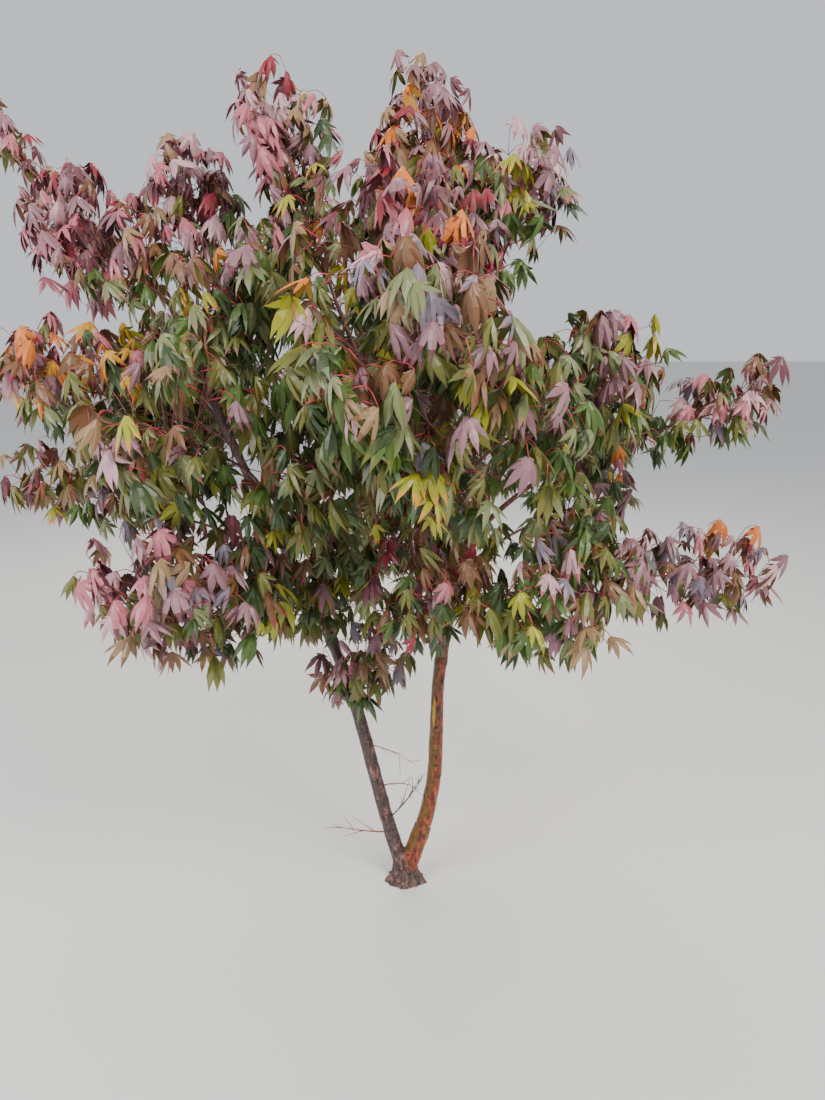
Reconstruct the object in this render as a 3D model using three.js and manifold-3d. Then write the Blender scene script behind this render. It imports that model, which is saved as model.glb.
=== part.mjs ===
// A young japanese maple with two stems from one foot, cut flat at the ground.
// Millimetres, +Z up. The origin is on the ground under the foot, and the front is on the -Y side.
// Headings are in degrees seen from above: 0 is +X, 90 is +Y, 180 is -X. Rises are degrees above level.
import Module from "manifold-3d";
import * as THREE from "three";
import { mergeVertices } from "three/addons/utils/BufferGeometryUtils.js";

const wasm = await Module();
wasm.setup();

const UP = new THREE.Vector3(0, 0, 1);

// Clear space between neighbouring pieces, how small an edge is dropped or counts as none, and how
// thin a triangle may be
const GAP = 0.3;
const SMALLEST_EDGE = 0.06;
const SAME_PLACE = 0.004;
const THINNEST = 0.012;

// The foot: its half widths at the ground and at its neck, its height, how fast the flare fades,
// how its rings crowd towards the ground, its lobes, and where along them the stems stand free
const FOOT_WIDTH = 57;
const FOOT_DEPTH = 45;
const NECK_WIDTH = 33;
const NECK_DEPTH = 24;
const FOOT_HEIGHT = 84;
const FLARE_FADE = 20;
const FOOT_SIDES = 20;
const FOOT_STEPS = 5;
const FOOT_CROWDING = 1.4;
const FOOT_LOBES = 5;
const FOOT_LOBE_DEPTH = 0.09;
const STEM_LIFTS_OFF = 36;

// The stems: foot point, heading, lean off upright at foot and tip, sway, length and end radii
const STEMS = {
  left: {
    foot: [-14, 0, 60], heading: 186, lean: [14, 26], sway: 4, sways: 1.5, phase: 0.41,
    length: 1600, radii: [19.5, 6.5], taper: 1.3,
  },
  right: {
    foot: [14, 4, 60], heading: 12, lean: [13.5, -11.5], sway: -6.5, sways: 2.3, phase: -0.29,
    length: 1600, radii: [24.5, 6], taper: 0.9,
  },
};
const STEM_STEPS = 12;
const STEM_SIDES = 8;

// Limbs: name, the stem it leaves, the fraction of that stem's length where it does, heading, rise
// at its middle, how much the rise grows from foot to tip, and length, then the reach of its mass
// beyond the tip, the mass's half width and its tint. Length 0 puts the mass straight on the stem.
const LIMBS = [
  ["low_left_front", "left", 0.43, 244, 38, -34, 260, 520, 180, "mauve"],
  ["low_left", "left", 0.555, 183, 29, -20, 280, 480, 115, "mauve"],
  ["left_front", "left", 0.64, 263, 40, -34, 290, 440, 190, "mauve"],
  ["left", "left", 0.77, 187, 36, -30, 110, 470, 165, "rose"],
  ["upper_left", "left", 1, 160, 35, 0, 0, 440, 160, "rose"],
  ["left_shoot", "left", 0.9, 156, 45, 10, 570, 330, 80, "rose"],
  ["left_peak", "left", 0.87, 110, 68, 16, 240, 370, 120, "rose"],
  ["left_inner_peak", "left", 0.84, 343, 60, -14, 130, 410, 155, "brown"],
  ["left_back", "left", 0.8, 117, 13, -24, 320, 520, 230, "olive"],
  ["left_middle", "left", 0.6, 284, 43, -34, 270, 420, 190, "olive"],
  ["peak", "right", 1, 285, 86, 0, 0, 380, 165, "brown"],
  ["peak_shoot", "right", 0.86, 116, 78, 20, 540, 220, 90, "brown"],
  ["top_left", "right", 0.6, 184, 64, 16, 730, 420, 150, "rose"],
  ["top_right", "right", 0.8, 354, 66, 6, 300, 380, 145, "mauve"],
  ["front_top", "right", 0.88, 263, 26, -24, 260, 430, 190, "brown"],
  ["front", "right", 0.72, 260, 25, -30, 520, 420, 200, "olive"],
  ["right_front", "right", 0.57, 273, 36, -30, 490, 430, 200, "olive"],
  ["right", "right", 0.64, 319, 48, -30, 250, 430, 165, "mauve"],
  ["far_right", "right", 0.55, 359, 37, -34, 520, 475, 115, "orange"],
  ["low_right", "right", 0.515, 19, 31, -30, 260, 400, 125, "orange"],
  ["low_far_right", "right", 0.45, 353, 18, -20, 410, 465, 130, "orange"],
  ["low_right_front", "right", 0.425, 294, 35, -30, 320, 430, 180, "mauve"],
  ["back_right", "right", 0.62, 51, 20, -24, 400, 470, 190, "olive"],
  ["back_low", "right", 0.48, 100, 20, -30, 220, 460, 200, "olive"],
  ["back_top", "right", 0.77, 94, 55, -16, 440, 440, 210, "brown"],
  ["back", "right", 0.67, 111, 23, -24, 440, 480, 230, "olive"],
  ["low_front", "right", 0.38, 267, 44, -30, 300, 340, 150, "brown"],
  ["low_sprig", "left", 0.35, 292, 39, -20, 0, 300, 110, "mauve"],
  ["low_middle", "left", 0.45, 271, 49, -20, 0, 480, 150, "mauve"],
  ["left_upper_front", "left", 0.86, 302, 47, -20, 0, 480, 160, "brown"],
].map(([name, from, at, heading, rise, lift, length, reach, spread, tint]) => (
  { name, from, at, heading, rise, lift, length, reach, spread, tint }
));

// Boughs: how far each bows sideways by turns, and radii from its length
const BOUGH_BOW = 14;
const BOUGH_STEPS = 5;
const BOUGH_SIDES = 4;
const BOUGH_FOOT_RADIUS = 4.5;
const BOUGH_FOOT_GROWTH = 0.01;
const BOUGH_TIP_RADIUS = 3.4;

// Masses of foliage: the stem inside, the space that they keep to, and the twigs. The angles are in
// degrees, the spreads are the most that a value is off its own middle, and twigs take the rolls
// and the reaches by turns and lean upwards by the lift. A seed shift gives a mass another pattern.
const MASS_SEED = 1000;
const SEED_STEP = 17;
const SEED_SHIFTS = { low_left_front: 7, left: 7, front: 7, top_right: 7 };
const SPRAY_REACH = 0.68;
const SPRAY_DROOP = 6;
const SPRAY_RADII = [3.2, 2.2];
const SPRAY_STEPS = 3;
const SPRAY_SIDES = 3;
const SPACE_SLACK = 1.12;
const SPACE_HEIGHT = 0.9;
const SPACE_MARGIN = 1;
const LIMB_CLEARANCE = 3;
const TWIGS_PER_AREA = 2.15e-4;
const FEWEST_NODES = 5;
const TWIG_LIFT = 0.22;
const TWIG_ANGLE = 55;
const TWIG_ANGLE_SPREAD = 16;
const TWIG_ROLLS = [6, 64];
const TWIG_ROLL_SPREAD = 30;
const TWIG_REACHES = [0.85, 0.5, 0.7];
const TWIG_REACH_SPREAD = 0.3;
const TIP_TWIG = { sink: 6, shortest: 20, longest: 32 };
const TWIG_HALF_WIDTHS = [2.2, 1.8];
const TWIG_STAGGER = 7;
const TWIG_TRIES = 24;

// Leaves: five lobes by angle off the middle line and reach. Each hangs from the end of a twig.
const LEAF_OUTLINE = [[98, 0.58], [76, 0.44], [50, 0.9], [25, 0.46], [0, 1]];
const LEAF_SIZE = 136;
const LEAF_SIZE_SPREAD = 0.08;
const LEAF_SHRINK = 0.975;
const LEAF_THICKNESS = 4.8;
const LEAF_CUP = 0.22;
const LEAF_DROOP = 46;
const LEAF_DROOP_SPREAD = 24;
const LEAF_BASE = 0.1;
const FULL_LEAF_SPREAD = 165;

const BARK_LEFT = { color: 0x6f564b, roughness: 0.85, metalness: 0 };
const BARK_RIGHT = { color: 0x9a5a33, roughness: 0.45, metalness: 0 };
const TWIG_BARK = { color: 0x7a3f38, roughness: 0.6, metalness: 0 };
const DEAD_BARK = { color: 0x8d7f74, roughness: 0.9, metalness: 0 };
const LEAF_TINTS = { mauve: 0x846770, rose: 0x9c6a78, brown: 0x6b5147, olive: 0x5e6130, orange: 0xa06a3c };

// Thin shoots at the foot: fraction up the left stem, and their side shoots by turns to both sides
const THIN_SHOOTS = [
  {
    name: "dead_shoot", at: 0.085, heading: 338, rise: 56, length: 190, radii: [3.2, 1.6],
    branches: 5, angle: 46, look: DEAD_BARK,
  },
  {
    name: "red_shoot", at: 0.06, heading: 188, rise: 12, length: 165, radii: [2.6, 1.5],
    branches: 2, angle: 38, look: TWIG_BARK,
  },
];
const SHOOT_SEED = 500;
const SHOOT_LIFT = 14;
const SHOOT_STEPS = 4;
const SHOOT_SIDES = 4;
const SIDE_SHOOTS = {
  from: 0.42, over: 0.5, climb: 0.6, shortest: 0.26, longest: 0.38, taper: 0.8, sides: 3,
};

// Numbers from 0 to 1 that are the same on each run
function seeded(seed) {
  let state = seed >>> 0;
  return () => {
    state = (Math.imul(1664525, state) + 1013904223) >>> 0;
    return state / 2 ** 32;
  };
}

function direction(heading, rise) {
  const h = THREE.MathUtils.degToRad(heading);
  const r = THREE.MathUtils.degToRad(rise);
  return new THREE.Vector3(Math.cos(h) * Math.cos(r), Math.sin(h) * Math.cos(r), Math.sin(r));
}

// A direction turned towards another, square to it, by an angle
function turned(from, towards, angle) {
  return from.clone().multiplyScalar(Math.cos(angle)).addScaledVector(towards, Math.sin(angle));
}

// Points along a limb whose heading and rise change evenly from foot to tip
function limbPath({ start, heading, bow = 0, rise, lift, length, steps }) {
  const points = [start.clone()];
  for (let i = 0; i < steps; i += 1) {
    const t = (i + 0.5) / steps - 0.5;
    const step = direction(heading + bow * t, rise + lift * t).multiplyScalar(length / steps);
    points.push(points[i].clone().add(step));
  }
  return points;
}

function stemPath({ foot, heading, lean, sway, sways, phase, length }) {
  const points = [new THREE.Vector3(...foot)];
  for (let i = 0; i < STEM_STEPS; i += 1) {
    const t = (i + 0.5) / STEM_STEPS;
    const swing = sway * Math.sin(2 * Math.PI * (sways * t + phase));
    const rise = 90 - (lean[0] + (lean[1] - lean[0]) * t + swing);
    points.push(points[i].clone().add(direction(heading, rise).multiplyScalar(length / STEM_STEPS)));
  }
  return points;
}

function pointAt(points, fraction) {
  const place = fraction * (points.length - 1);
  const i = Math.min(Math.floor(place), points.length - 2);
  return points[i].clone().lerp(points[i + 1], place - i);
}

function tangentAt(points, i) {
  const before = points[Math.max(i - 1, 0)];
  const after = points[Math.min(i + 1, points.length - 1)];
  return after.clone().sub(before).normalize();
}

function toSolid(geometry) {
  geometry.deleteAttribute("normal");
  geometry.deleteAttribute("uv");
  const merged = mergeVertices(geometry, 1e-4);
  return new wasm.Manifold(new wasm.Mesh({
    numProp: 3,
    vertProperties: new Float32Array(merged.attributes.position.array),
    triVerts: new Uint32Array(merged.index.array),
  }));
}

// A closed tube: a cylinder bent along the points, with its own radius at each of them.
// across is a direction that stays square to the bend.
function tube(points, radii, sides, across) {
  const steps = points.length - 1;
  const geometry = new THREE.CylinderGeometry(1, 1, 1, sides, steps);
  const position = geometry.attributes.position;
  for (let i = 0; i < position.count; i += 1) {
    const k = Math.round((position.getY(i) + 0.5) * steps);
    const tangent = tangentAt(points, k);
    const third = across.clone().cross(tangent).normalize();
    const side = tangent.clone().cross(third);
    const place = points[k].clone();
    place.addScaledVector(side, position.getX(i) * radii[k]);
    place.addScaledVector(third, position.getZ(i) * radii[k]);
    position.setXYZ(i, place.x, place.y, place.z);
  }
  return toSolid(geometry);
}

function taperedRadii([foot, tip], count, power = 1) {
  return Array.from({ length: count }, (_, i) => foot + (tip - foot) * (i / (count - 1)) ** power);
}

// Fused pieces as one solid: scraps that stayed loose are dropped, and sealed hollows are filled
function oneBody(solid) {
  const pieces = solid.simplify(SMALLEST_EDGE).decompose();
  return pieces.sort((a, b) => b.volume() - a.volume())[0];
}

// Whether a body has no edge too short to keep, no sliver and no two edges on top of each other
function isSound(solid) {
  const { vertProperties, triVerts } = solid.getMesh();
  const geometry = new THREE.BufferGeometry();
  geometry.setAttribute("position", new THREE.BufferAttribute(vertProperties, 3));
  geometry.setIndex(new THREE.BufferAttribute(triVerts, 1));
  const merged = mergeVertices(geometry, SAME_PLACE);
  const corners = merged.index.array;
  const edges = new Set();
  const { a, b, c } = new THREE.Triangle();
  const [ab, ac] = [new THREE.Vector3(), new THREE.Vector3()];
  for (let i = 0; i < corners.length; i += 3) {
    const [first, second, third] = corners.slice(i, i + 3);
    [a, b, c].forEach((corner, k) => corner.fromBufferAttribute(merged.attributes.position, corners[i + k]));
    const longest = Math.max(a.distanceTo(b), b.distanceTo(c), c.distanceTo(a));
    const twiceArea = ab.subVectors(b, a).cross(ac.subVectors(c, a)).length();
    if (twiceArea < THINNEST * longest || longest === 0) return false;
    edges.add(`${first} ${second}`).add(`${second} ${third}`).add(`${third} ${first}`);
  }
  return edges.size === corners.length;
}

function makeMesh(name, solid, look) {
  const { vertProperties, triVerts } = solid.getMesh();
  const geometry = new THREE.BufferGeometry();
  geometry.setAttribute("position", new THREE.BufferAttribute(vertProperties, 3));
  geometry.setIndex(new THREE.BufferAttribute(triVerts, 1));
  const mesh = new THREE.Mesh(geometry, new THREE.MeshStandardMaterial(look));
  mesh.name = name;
  return mesh;
}

// Every woody limb, kept so that twigs and leaves can stay clear of it, with samples of its thickness
const wood = [];
const SAMPLE_STEP = 8;

function addWood(name, points, radii, sides, across) {
  const samples = [];
  for (let i = 0; i + 1 < points.length; i += 1) {
    const count = Math.ceil(points[i].distanceTo(points[i + 1]) / SAMPLE_STEP);
    for (let k = 0; k <= count; k += 1) {
      const place = points[i].clone().lerp(points[i + 1], k / count);
      samples.push({ place, radius: THREE.MathUtils.lerp(radii[i], radii[i + 1], k / count) });
    }
  }
  const grown = () => tube(points, radii.map((r) => r + GAP), sides, across);
  const limb = { name, points, samples, grown, solid: () => tube(points, radii, sides, across) };
  wood.push(limb);
  return limb;
}

function growStem(side) {
  const size = STEMS[side];
  const whole = stemPath(size);
  const radii = taperedRadii(size.radii, whole.length, size.taper);
  const across = direction(size.heading + 90, 0);
  const lift = STEM_LIFTS_OFF / size.length;
  const cut = (along) => pointAt(whole, lift + along / size.length);
  const limb = addWood(`stem_${side}`, [cut(0), ...whole.slice(1)], radii, STEM_SIDES, across);
  const stub = tube([whole[0], cut(-GAP)], [radii[0], radii[0]], STEM_SIDES, across);
  return { limb, whole, stub };
}

// The foot: a lobed flare that narrows to the two stubs that the stems stand on
function growFoot(stubs) {
  const geometry = new THREE.CylinderGeometry(1, 1, 1, FOOT_SIDES, FOOT_STEPS);
  const position = geometry.attributes.position;
  for (let i = 0; i < position.count; i += 1) {
    const up = (position.getY(i) + 0.5) ** FOOT_CROWDING;
    const angle = Math.atan2(position.getX(i), position.getZ(i));
    const flare = Math.exp(-up * FOOT_HEIGHT / FLARE_FADE);
    const lobe = 1 + FOOT_LOBE_DEPTH * flare * Math.cos(FOOT_LOBES * angle);
    const width = (NECK_WIDTH + (FOOT_WIDTH - NECK_WIDTH) * flare) * lobe;
    const depth = (NECK_DEPTH + (FOOT_DEPTH - NECK_DEPTH) * flare) * lobe;
    const out = Math.hypot(position.getX(i), position.getZ(i));
    position.setXYZ(i, out * width * Math.sin(angle), -out * depth * Math.cos(angle), up * FOOT_HEIGHT);
  }
  return oneBody(wasm.Manifold.union([toSolid(geometry), ...stubs]));
}

const stems = { left: growStem("left"), right: growStem("right") };
const paths = { left: stems.left.whole, right: stems.right.whole };
const meshes = [];

meshes.push(makeMesh("root_flare", growFoot([stems.left.stub, stems.right.stub]), BARK_LEFT));
meshes.push(makeMesh("stem_left", stems.left.limb.solid(), BARK_LEFT));
meshes.push(makeMesh("stem_right", stems.right.limb.solid(), BARK_RIGHT));

// Boughs, each cut clear of the limb that it leaves
function growBough(row, index) {
  const start = pointAt(paths[row.from], row.at);
  const bow = index % 2 ? BOUGH_BOW : -BOUGH_BOW;
  const points = limbPath({ ...row, start, bow, steps: BOUGH_STEPS });
  const foot = BOUGH_FOOT_RADIUS + BOUGH_FOOT_GROWTH * row.length;
  const radii = taperedRadii([foot, BOUGH_TIP_RADIUS], points.length);
  const limb = addWood(`bough_${row.name}`, points, radii, BOUGH_SIDES, direction(row.heading + 90, 0));
  const parent = wood.find((other) => other.name === `stem_${row.from}`);
  meshes.push(makeMesh(limb.name, oneBody(limb.solid().subtract(parent.grown())), TWIG_BARK));
  return {
    start: points.at(-1), heading: row.heading + bow / 2, rise: row.rise + row.lift / 2, holder: limb,
  };
}

// The stem of a mass, going on from what carries it, and just clear of it
function growSprayStem(row, tip) {
  const axis = direction(tip.heading, tip.rise);
  const across = direction(tip.heading + 90, 0);
  const radii = taperedRadii(SPRAY_RADII, SPRAY_STEPS + 1);
  const holder = tip.holder.solid();
  const pathFrom = (lift) => limbPath({
    start: tip.start.clone().addScaledVector(axis, lift),
    heading: tip.heading,
    rise: tip.rise - SPRAY_DROOP / 2,
    lift: -SPRAY_DROOP,
    length: SPRAY_REACH * row.reach,
    steps: SPRAY_STEPS,
  });
  let lift = GAP;
  while (tube(pathFrom(lift), radii, SPRAY_SIDES, across).minGap(holder, 1) < GAP) lift += GAP / 4;
  const points = pathFrom(lift);
  const limb = addWood(`foliage_${row.name}`, points, radii, SPRAY_SIDES, across);
  const centre = tip.start.clone().addScaledVector(axis, row.reach / 2);
  const axes = [
    axis.clone().multiplyScalar((SPACE_SLACK * row.reach) / 2),
    across.clone().multiplyScalar(SPACE_SLACK * row.spread),
    axis.clone().cross(across).multiplyScalar(SPACE_SLACK * SPACE_HEIGHT * row.spread),
  ];
  return { row, limb, points, across, centre, axes, walls: [] };
}

const tips = LIMBS.map((row, index) => {
  if (row.length > 0) return growBough(row, index);
  const holder = stems[row.from].limb;
  return { start: pointAt(paths[row.from], row.at), heading: row.heading, rise: row.rise, holder };
});
const masses = LIMBS.map((row, index) => growSprayStem(row, tips[index]));

// Half the thickness of a mass's space in a direction
function support(mass, normal) {
  return Math.hypot(...mass.axes.map((axis) => axis.dot(normal)));
}

// Neighbouring spaces are parted by a flat wall between them, so no two masses touch
for (let i = 0; i < masses.length; i += 1) {
  for (let j = i + 1; j < masses.length; j += 1) {
    const between = masses[j].centre.clone().sub(masses[i].centre);
    const distance = between.length();
    const normal = between.normalize();
    const near = support(masses[i], normal);
    const far = support(masses[j], normal);
    if (near + far > distance - 2 * SPACE_MARGIN) {
      const wall = normal.dot(masses[i].centre) + (distance * near) / (near + far);
      masses[i].walls.push({ normal, limit: wall - SPACE_MARGIN });
      masses[j].walls.push({ normal: normal.clone().negate(), limit: -wall - SPACE_MARGIN });
    }
  }
}

function inSpace(mass, place) {
  const from = place.clone().sub(mass.centre);
  const out = Math.hypot(...mass.axes.map((axis) => from.dot(axis) / axis.lengthSq()));
  return out < 1 && place.z > 0 && mass.walls.every(({ normal, limit }) => normal.dot(place) < limit);
}

// Whether a piece of a mass stays in its space and clear of every limb but the mass's own stem
function fits(mass, solid) {
  const { vertProperties, triVerts } = solid.getMesh();
  const places = [];
  for (let i = 0; i < vertProperties.length; i += 3) {
    places.push(new THREE.Vector3(vertProperties[i], vertProperties[i + 1], vertProperties[i + 2]));
  }
  if (!places.every((place) => inSpace(mass, place))) return false;
  const box = new THREE.Box3().setFromPoints(places);
  const triangle = new THREE.Triangle();
  const nearest = new THREE.Vector3();
  for (const limb of wood) {
    if (limb === mass.limb) continue;
    for (const { place, radius } of limb.samples) {
      const clear = radius + LIMB_CLEARANCE;
      if (box.distanceToPoint(place) > clear) continue;
      for (let i = 0; i < triVerts.length; i += 3) {
        triangle.set(places[triVerts[i]], places[triVerts[i + 1]], places[triVerts[i + 2]]);
        triangle.closestPointToPoint(place, nearest);
        if (nearest.distanceTo(place) < clear) return false;
      }
    }
  }
  return true;
}

// A twig and the leaf that it ends in, as one closed mesh. The blade is a lens between an upper and
// a lower centre, and its rim is the lobed outline, cupped so that its tips hang. The twig is a
// three-sided bar from its root to the two corners and the keel behind the blade.
function leafedTwig({ root, way, length, droop, size }) {
  const level = way.clone().setZ(0).normalize();
  const along = turned(level, UP, -droop);
  const normal = turned(UP, level, droop);
  const across = along.clone().cross(normal);
  const under = way.clone().cross(across).normalize().negate();
  const base = root.clone().addScaledVector(way, length);
  const centre = base.clone().addScaledVector(along, LEAF_BASE * size);
  const beside = (place, vector, distance) => place.clone().addScaledVector(vector, distance);
  const rim = (degrees, reach) => {
    const angle = THREE.MathUtils.degToRad(degrees);
    const place = beside(centre, along, Math.cos(angle) * reach * size);
    return place.addScaledVector(across, Math.sin(angle) * reach * size)
      .addScaledVector(normal, -LEAF_CUP * reach * reach * size);
  };
  const [wide, slim] = TWIG_HALF_WIDTHS;
  const places = [
    beside(base, across, -slim),
    ...LEAF_OUTLINE.map(([degrees, reach]) => rim(-degrees, reach)),
    ...LEAF_OUTLINE.slice(0, -1).reverse().map(([degrees, reach]) => rim(degrees, reach)),
    beside(base, across, slim),
  ];
  const last = places.length - 1;
  const [top, bottom, keel, left, right, tail] = [1, 2, 3, 4, 5, 6].map((k) => last + k);
  places.push(beside(centre, normal, LEAF_THICKNESS / 2), beside(centre, normal, -LEAF_THICKNESS / 2));
  places.push(beside(base, normal, -2 * slim));
  places.push(beside(root, across, -wide), beside(root, across, wide), beside(root, under, 2 * wide));
  const faces = [top, 0, last, bottom, last, keel, bottom, keel, 0];
  for (let i = 0; i < last; i += 1) faces.push(top, i + 1, i, bottom, i, i + 1);
  faces.push(last, 0, left, last, left, right, keel, last, right, keel, right, tail);
  faces.push(0, keel, tail, 0, tail, left, left, tail, right);
  const geometry = new THREE.BufferGeometry().setFromPoints(places);
  geometry.setIndex(faces);
  return toSolid(geometry);
}

// A mass: leafed twigs to left and right along its stem, turned about it from node to node. Each is
// tried a few times, smaller by turns, and left out where nothing fits.
function growMass(mass, index) {
  const { row, points, limb } = mass;
  const random = seeded(MASS_SEED + SEED_STEP * index + (SEED_SHIFTS[row.name] ?? 0));
  const spread = () => 2 * random() - 1;
  const length = SPRAY_REACH * row.reach;
  const largest = LEAF_SIZE * Math.min(1, row.spread / FULL_LEAF_SPREAD);
  const twigs = [];
  let body = limb.solid();
  const nodes = Math.max(FEWEST_NODES, Math.round((TWIGS_PER_AREA * row.reach * row.spread) / 2));
  const tryTwig = (make) => {
    for (let attempt = 0; attempt < TWIG_TRIES; attempt += 1) {
      const shape = make();
      shape.droop = THREE.MathUtils.degToRad(LEAF_DROOP + LEAF_DROOP_SPREAD * spread());
      shape.size = largest * (1 + LEAF_SIZE_SPREAD * spread()) * LEAF_SHRINK ** attempt;
      const twig = leafedTwig(shape);
      if (!fits(mass, twig) || twigs.some((other) => !twig.intersect(other).isEmpty())) continue;
      const joined = body.add(twig).simplify(SMALLEST_EDGE);
      if (joined.decompose().length === 1 && isSound(joined)) {
        twigs.push(twig);
        body = joined;
        return;
      }
    }
  };
  const tip = tangentAt(points, SPRAY_STEPS);
  tryTwig(() => ({
    root: points.at(-1).clone().addScaledVector(tip, -TIP_TWIG.sink),
    way: tip,
    length: THREE.MathUtils.lerp(TIP_TWIG.shortest, TIP_TWIG.longest, random()),
  }));
  for (let k = nodes - 1; k >= 0; k -= 1) {
    for (const side of [-1, 1]) {
      const f = (k + 0.5) / nodes + (side * TWIG_STAGGER) / 2 / length;
      const root = pointAt(points, f);
      const along = tangentAt(points, Math.min(Math.floor(f * SPRAY_STEPS) + 1, SPRAY_STEPS));
      const third = along.clone().cross(mass.across).normalize();
      tryTwig(() => {
        const roll = THREE.MathUtils.degToRad(TWIG_ROLLS[k % 2] + TWIG_ROLL_SPREAD * spread());
        const angle = THREE.MathUtils.degToRad(TWIG_ANGLE + TWIG_ANGLE_SPREAD * spread());
        const out = turned(mass.across, third, roll);
        const way = turned(along, out, side * angle).addScaledVector(UP, TWIG_LIFT).normalize();
        const reach = row.spread * TWIG_REACHES[(k + (side > 0 ? 1 : 0)) % TWIG_REACHES.length];
        return { root, way, length: reach * (1 + TWIG_REACH_SPREAD * spread()) };
      });
    }
  }
  const look = { color: LEAF_TINTS[row.tint], roughness: 0.6, metalness: 0 };
  meshes.push(makeMesh(limb.name, body, look));
}

masses.forEach(growMass);

THIN_SHOOTS.forEach((row, index) => {
  const random = seeded(SHOOT_SEED + index);
  const start = pointAt(paths.left, row.at);
  const points = limbPath({ ...row, start, lift: SHOOT_LIFT, steps: SHOOT_STEPS });
  const across = direction(row.heading + 90, 0);
  const pieces = [tube(points, taperedRadii(row.radii, points.length), SHOOT_SIDES, across)];
  const thin = row.radii[1];
  for (let k = 0; k < row.branches; k += 1) {
    const f = SIDE_SHOOTS.from + (SIDE_SHOOTS.over * k) / row.branches;
    const along = tangentAt(points, Math.floor(f * SHOOT_STEPS));
    const angle = THREE.MathUtils.degToRad(row.angle * (k % 2 ? 1 : -1));
    const way = along.clone().applyAxisAngle(across, angle * SIDE_SHOOTS.climb).applyAxisAngle(UP, angle);
    const foot = pointAt(points, f);
    const share = THREE.MathUtils.lerp(SIDE_SHOOTS.shortest, SIDE_SHOOTS.longest, random());
    const end = foot.clone().addScaledVector(way, row.length * share);
    const flat = way.clone().cross(UP).normalize();
    pieces.push(tube([foot, end], [thin, thin * SIDE_SHOOTS.taper], SIDE_SHOOTS.sides, flat));
  }
  const fused = wasm.Manifold.union(pieces).subtract(stems.left.limb.grown());
  meshes.push(makeMesh(row.name, oneBody(fused), row.look));
});

const tree = new THREE.Group();
tree.name = "japanese_maple_tree";
tree.add(...meshes);

export default tree;
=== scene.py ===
"""A young japanese maple with two stems and autumn leaves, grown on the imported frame.

Growth is worked out in millimetres by the same rule as the solids: headings are in degrees seen from
above (0 is +X, 90 is +Y), rises in degrees above level. Meshes are made in metres.
"""

import itertools
import math

import bmesh
import bpy
import numpy as np
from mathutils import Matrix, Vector, noise


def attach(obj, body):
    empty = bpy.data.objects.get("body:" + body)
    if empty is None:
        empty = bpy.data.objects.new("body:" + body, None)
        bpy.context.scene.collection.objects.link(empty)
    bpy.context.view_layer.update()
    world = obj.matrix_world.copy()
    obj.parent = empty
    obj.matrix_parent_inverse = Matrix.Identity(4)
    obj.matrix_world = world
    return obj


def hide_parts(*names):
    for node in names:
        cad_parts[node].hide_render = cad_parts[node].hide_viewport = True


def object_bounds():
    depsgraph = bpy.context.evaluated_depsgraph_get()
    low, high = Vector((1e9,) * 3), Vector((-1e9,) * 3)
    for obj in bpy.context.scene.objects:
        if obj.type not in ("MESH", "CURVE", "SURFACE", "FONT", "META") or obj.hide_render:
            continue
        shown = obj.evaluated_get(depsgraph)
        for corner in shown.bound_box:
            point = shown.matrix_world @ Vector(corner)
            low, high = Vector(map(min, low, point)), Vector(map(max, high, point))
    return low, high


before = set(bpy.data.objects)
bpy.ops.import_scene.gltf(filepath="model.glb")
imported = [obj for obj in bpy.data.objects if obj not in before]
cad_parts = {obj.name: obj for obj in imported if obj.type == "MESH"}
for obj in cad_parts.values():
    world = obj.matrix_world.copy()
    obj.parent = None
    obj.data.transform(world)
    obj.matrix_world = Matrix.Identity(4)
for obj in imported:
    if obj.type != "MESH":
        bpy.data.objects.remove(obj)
CAD_BOX = [list(corner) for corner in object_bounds()]

MM = 0.001
UP = Vector((0, 0, 1))

# The camera: lens in mm for a 36 mm long side, place in metres, degrees below level
CAMERA_SENSOR, CAMERA_LENS = 36, 27.03
CAMERA_PLACE = (0.02, -2.02, 1.5)
CAMERA_PITCH = 14.9

# The foot and the stems, as in the solids. The fork between the stems is rounded above the foot.
FOOT_WIDTH, FOOT_DEPTH = 57, 45
NECK_WIDTH, NECK_DEPTH = 33, 24
FOOT_HEIGHT, FORK_HEIGHT = 84, 11
FLARE_FADE = 20
# Root toes round the foot: how many, how deep as a share of its width, and turn in radians
FOOT_TOES = ((5, 0.09, 0), (9, 0.07, 1.3), (13, 0.045, 4))
STEMS = {
    "left": dict(foot=(-14, 0, 60), heading=186, lean=(14, 26), sway=4, sways=1.5, phase=0.41,
                 length=1600, radii=(19.5, 6.5), taper=1.3),
    "right": dict(foot=(14, 4, 60), heading=12, lean=(13.5, -11.5), sway=-6.5, sways=2.3, phase=-0.29,
                  length=1600, radii=(24.5, 6), taper=0.9),
}
STEM_STEPS = 12

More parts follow.
